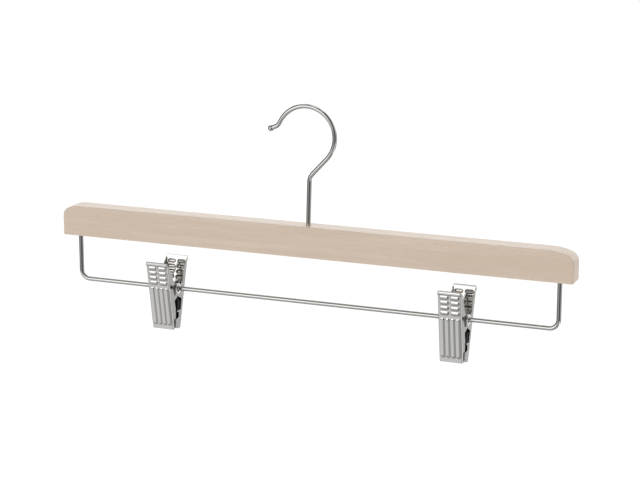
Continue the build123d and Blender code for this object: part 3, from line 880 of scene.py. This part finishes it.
def metal_material(name, tint, rough, grain, grain_scale, uv=False, spots=0.0, painted_light_marks=False):
    m, g, b = material(name)
    b.inputs["Metallic"].default_value = 1.0
    co = coords(g)
    n1 = g.noise(co, 420.0, 3, 0.6)
    n2 = g.noise(co, grain_scale, 2, 0.6)
    shade_ = g.ramp(n1, 0.3, 0.7, 0.92, 1.0)
    col = g.mix(shade_, tuple(c * 0.86 for c in tint), tint)
    if spots:
        pit = g.ramp(g.noise(co, 1500.0, 1, 0.5), 0.62, 0.72, 0.0, spots)
        col = g.mix(pit, col, tuple(c * 0.55 for c in tint))
    if painted_light_marks:
        marks = g.node("ShaderNodeSeparateColor")
        g.put(marks.inputs[0], g.node("ShaderNodeVertexColor", layer_name="painted_light").outputs["Color"])
        # painted shade: darker colour where the attribute's first channel is set
        col = g.mix(g.math("MULTIPLY", marks.outputs[0], 0.62), col, tuple(c * 0.42 for c in tint))
        # painted highlight: lighter colour where the attribute's second channel is set
        col = g.mix(g.math("MULTIPLY", marks.outputs[1], 0.8), col, tuple(min(1.0, c * 1.2) for c in tint))
    g.put(b.inputs["Base Color"], col)
    g.put(b.inputs["Roughness"], g.ramp(n1, 0.25, 0.75, rough * 0.82, rough * 1.2))
    if uv:
        lines = g.noise(g.mapping(coords(g, "UV"), (14.0, 36.0, 1.0)), 3.0, 3, 0.6)
        height = g.math("ADD", g.math("MULTIPLY", lines, 0.8), g.math("MULTIPLY", n2, 0.25))
    else:
        height = n2
    g.put(b.inputs["Normal"], g.bump(height, grain, 0.00005))
    return m


def rubber_material():
    m, g, b = material("black_rubber")
    co = coords(g)
    n = g.noise(co, 900.0, 3, 0.6)
    dust = g.noise(co, 160.0, 2, 0.5)
    g.put(b.inputs["Base Color"], g.mix(g.ramp(dust, 0.4, 0.7, 0.0, 1.0), (0.006, 0.006, 0.0065), (0.016, 0.016, 0.016)))
    g.put(b.inputs["Roughness"], g.ramp(n, 0.3, 0.7, 0.42, 0.62))
    b.inputs["Specular IOR Level"].default_value = 0.35
    g.put(b.inputs["Normal"], g.bump(n, 0.3, 0.00005))
    return m


WOOD = wood_material()
WIRE = metal_material("bright_wire", (0.50, 0.495, 0.49), 0.05, 0.035, 1500.0, uv=True)
# the clip plate takes the painted shade and painted highlight from its stamping
CLIP = metal_material("satin_plate", (0.52, 0.517, 0.508), 0.15, 0.06, 900.0, spots=0.12, painted_light_marks=True)
EYELET = metal_material("eyelet_plate", (0.84, 0.835, 0.825), 0.20, 0.06, 1100.0)
SPRING = metal_material("spring_wire", (0.52, 0.515, 0.51), 0.2, 0.12, 1400.0, uv=True)
RUBBER = rubber_material()


def paint(obj, mat):
    obj.data.materials.clear()
    obj.data.materials.append(mat)


# ------------------------------------------------------------------ assembly
paint(nodes["wooden_bar"], WOOD)
paint(nodes["hook_washer"], WIRE)

hook = shade(build_hook(), 50)
paint(hook, WIRE)
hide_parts("hook")
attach(hook, "hook")

wire = shade(build_frame(), 50)
paint(wire, WIRE)
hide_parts("wire_frame")
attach(wire, "hanger")

for side in ("left", "right"):
    cm = clip_matrix(side)
    front = stamping(f"{side}_front_shell", cm @ Matrix.Translation((-SHELL_SHIFT, 0, 0)))
    rear = stamping(f"{side}_rear_shell", cm @ Matrix.Translation((SHELL_SHIFT, 0, 0)) @ Matrix.Rotation(math.pi, 4, "Z"))
    for obj, which in ((front, "front"), (rear, "rear")):
        shade(obj, 60)
        paint(obj, CLIP)
        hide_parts(f"{side}_{which}_jaw")
        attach(obj, f"{side}_{which}")
        pad = shade(build_pad(side, which), 35)
        paint(pad, RUBBER)
        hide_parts(f"{side}_{which}_pad")
        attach(pad, f"{side}_{which}")
    eye = shade(build_rivet(side), 50)
    paint(eye, EYELET)
    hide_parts(f"{side}_pivot_rivet")
    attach(eye, f"{side}_rivet")
    coil, arm = build_spring(side)
    for obj, body in ((coil, f"{side}_rear"), (arm, f"{side}_front")):
        shade(obj, 50)
        paint(obj, SPRING)
        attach(obj, body)
    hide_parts(f"{side}_spring")

# ------------------------------------------------------------------ floor
floor_mat, fg, fb = material("pale_floor")
fn = fg.noise(coords(fg), 6.0, 3, 0.5)
fg.put(fb.inputs["Base Color"], fg.mix(fg.ramp(fn, 0.3, 0.7, 0.0, 1.0), (0.80, 0.80, 0.795), (0.83, 0.83, 0.825)))
fb.inputs["Roughness"].default_value = 0.9
fb.inputs["Specular IOR Level"].default_value = 0.1
FLOOR_R, FLOOR_Z = 0.85, -0.85
ring = [(FLOOR_R * math.cos(2 * math.pi * i / 96), FLOOR_R * math.sin(2 * math.pi * i / 96), FLOOR_Z) for i in range(96)]
fl = make_mesh("pale_floor", ring, [tuple(range(96))])
paint(fl, floor_mat)

# ------------------------------------------------------------------ soft studio light
world = bpy.data.worlds.new("studio")
bpy.context.scene.world = world
world.use_nodes = True
wt = world.node_tree
wt.nodes.clear()
wg = Graph(wt)
sep = wg.node("ShaderNodeSeparateXYZ")
wg.put(sep.inputs[0], wg.node("ShaderNodeTexCoord").outputs["Generated"])
dx, dy, dz = sep.outputs
# azimuth: 0 straight in front of the object, positive towards +X; elevation from the horizon
az = wg.math("MULTIPLY", wg.math("ARCTAN2", dx, wg.math("MULTIPLY", dy, -1.0)), 180 / math.pi)
el = wg.math("MULTIPLY", wg.math("ARCSINE", dz), 180 / math.pi)
absaz = wg.math("ABSOLUTE", az)


def window(x, lo, hi, soft):
    a = wg.ramp(x, lo - soft, lo + soft, 0.0, 1.0)
    b_ = wg.ramp(x, hi - soft, hi + soft, 1.0, 0.0)
    return wg.math("MULTIPLY", a, b_)


def box_light(a0, a1, sa, e0, e1, se, value, use_abs=False):
    w = wg.math("MULTIPLY", window(absaz if use_abs else az, a0, a1, sa), window(el, e0, e1, se))
    return wg.math("MULTIPLY", w, value)


BOXES = [
    (-54, 2, 6, -4, 27, 4, 2.3, False),        # soft box in front, a little to the left
    (-52, -2, 6, 27, 58, 6, 0.56, False),      # its spill above
    (-66, -2, 6, -19, -4, 3, 0.50, False),     # dim band below it
    (-96, -4, 6, -60, -19, 3, 0.97, False),    # pale table, low left front
    (2, 64, 5, -19, 24, 6, 0.09, False),       # dark gap beside it
    (2, 80, 5, 24, 62, 6, 0.09, False),        # the gap's upper part
    (-4, 32, 6, -60, -19, 4, 0.48, False),     # the table below that gap
    (32, 56, 5, -60, -19, 4, 0.20, False),     # a dark edge beside it
    (56, 96, 7, -60, -21, 5, 1.7, False),      # bright floor at the right
    (104, 176, 8, -80, -34, 6, 1.6, False),    # bright floor behind
    (60, 134, 8, 62, 78, 5, 1.5, False),       # high right
    (70, 124, 7, -21, 24, 5, 0.62, False),     # right side
    (88, 124, 7, 24, 58, 5, 0.62, False),      # its upper part
    (124, 190, 8, 2, 27, 4, 1.55, False),      # white backdrop, right half
    (124, 190, 8, -60, 2, 4, 0.66, False),     # its foot
    (134, 190, 10, 27, 78, 6, 0.70, False),    # above it
    (-190, -144, 6, 2, 27, 4, 1.55, False),    # white backdrop, left half
    (-190, -144, 6, -60, 2, 4, 0.66, False),   # its foot
    (-190, -134, 8, 32, 78, 6, 0.70, False),   # above it
    (-128, -60, 8, 46, 78, 6, 0.70, False),    # its upper part
]
total = 0.06
for bx_ in BOXES:
    total = wg.math("ADD", total, box_light(*bx_))
total = wg.math("ADD", total, wg.ramp(el, 74, 84, 0.0, 2.2))
studio = wg.node("ShaderNodeBackground")
wg.put(studio.inputs["Strength"], total)
studio.inputs["Color"].default_value = (1.0, 0.995, 0.985, 1.0)
plain = wg.node("ShaderNodeBackground")
plain.inputs["Color"].default_value = (1.0, 1.0, 1.0, 1.0)
plain.inputs["Strength"].default_value = 1.05
mixw = wg.node("ShaderNodeMixShader")
wg.put(mixw.inputs[0], wg.node("ShaderNodeLightPath").outputs["Is Camera Ray"])
wg.put(mixw.inputs[1], studio.outputs[0])
wg.put(mixw.inputs[2], plain.outputs[0])
wout = wg.node("ShaderNodeOutputWorld")
wg.put(wout.inputs[0], mixw.outputs[0])

# ------------------------------------------------------------------ camera
AZ, EL, ROLL, DIST = 21.795, 13.66, 0.107, 1366.285
TARGET = Vector((8.052, 0.0, 10.024))
a_, e_ = math.radians(AZ), math.radians(EL)
back = Vector((math.sin(a_) * math.cos(e_), -math.cos(a_) * math.cos(e_), math.sin(e_)))
right_ = Vector((math.cos(a_), math.sin(a_), 0.0))
up_ = back.cross(right_)
rr_ = math.radians(ROLL)
right2 = right_ * math.cos(rr_) + up_ * math.sin(rr_)
up2 = -right_ * math.sin(rr_) + up_ * math.cos(rr_)
cam_data = bpy.data.cameras.new("camera")
cam_data.lens = 1965.445 / 640 * 36.0
cam_data.sensor_width = 36.0
cam_data.clip_start, cam_data.clip_end = 0.05, 40.0
cam = bpy.data.objects.new("camera", cam_data)
bpy.context.scene.collection.objects.link(cam)
pos = (TARGET + back * DIST + OFFSET) * MM
rot = Matrix((right2, up2, back)).transposed().to_4x4()
cam.matrix_world = Matrix.Translation(pos) @ rot
bpy.context.scene.camera = cam
bpy.context.scene.view_settings.view_transform = "Standard"
bpy.context.scene.view_settings.look = "None"
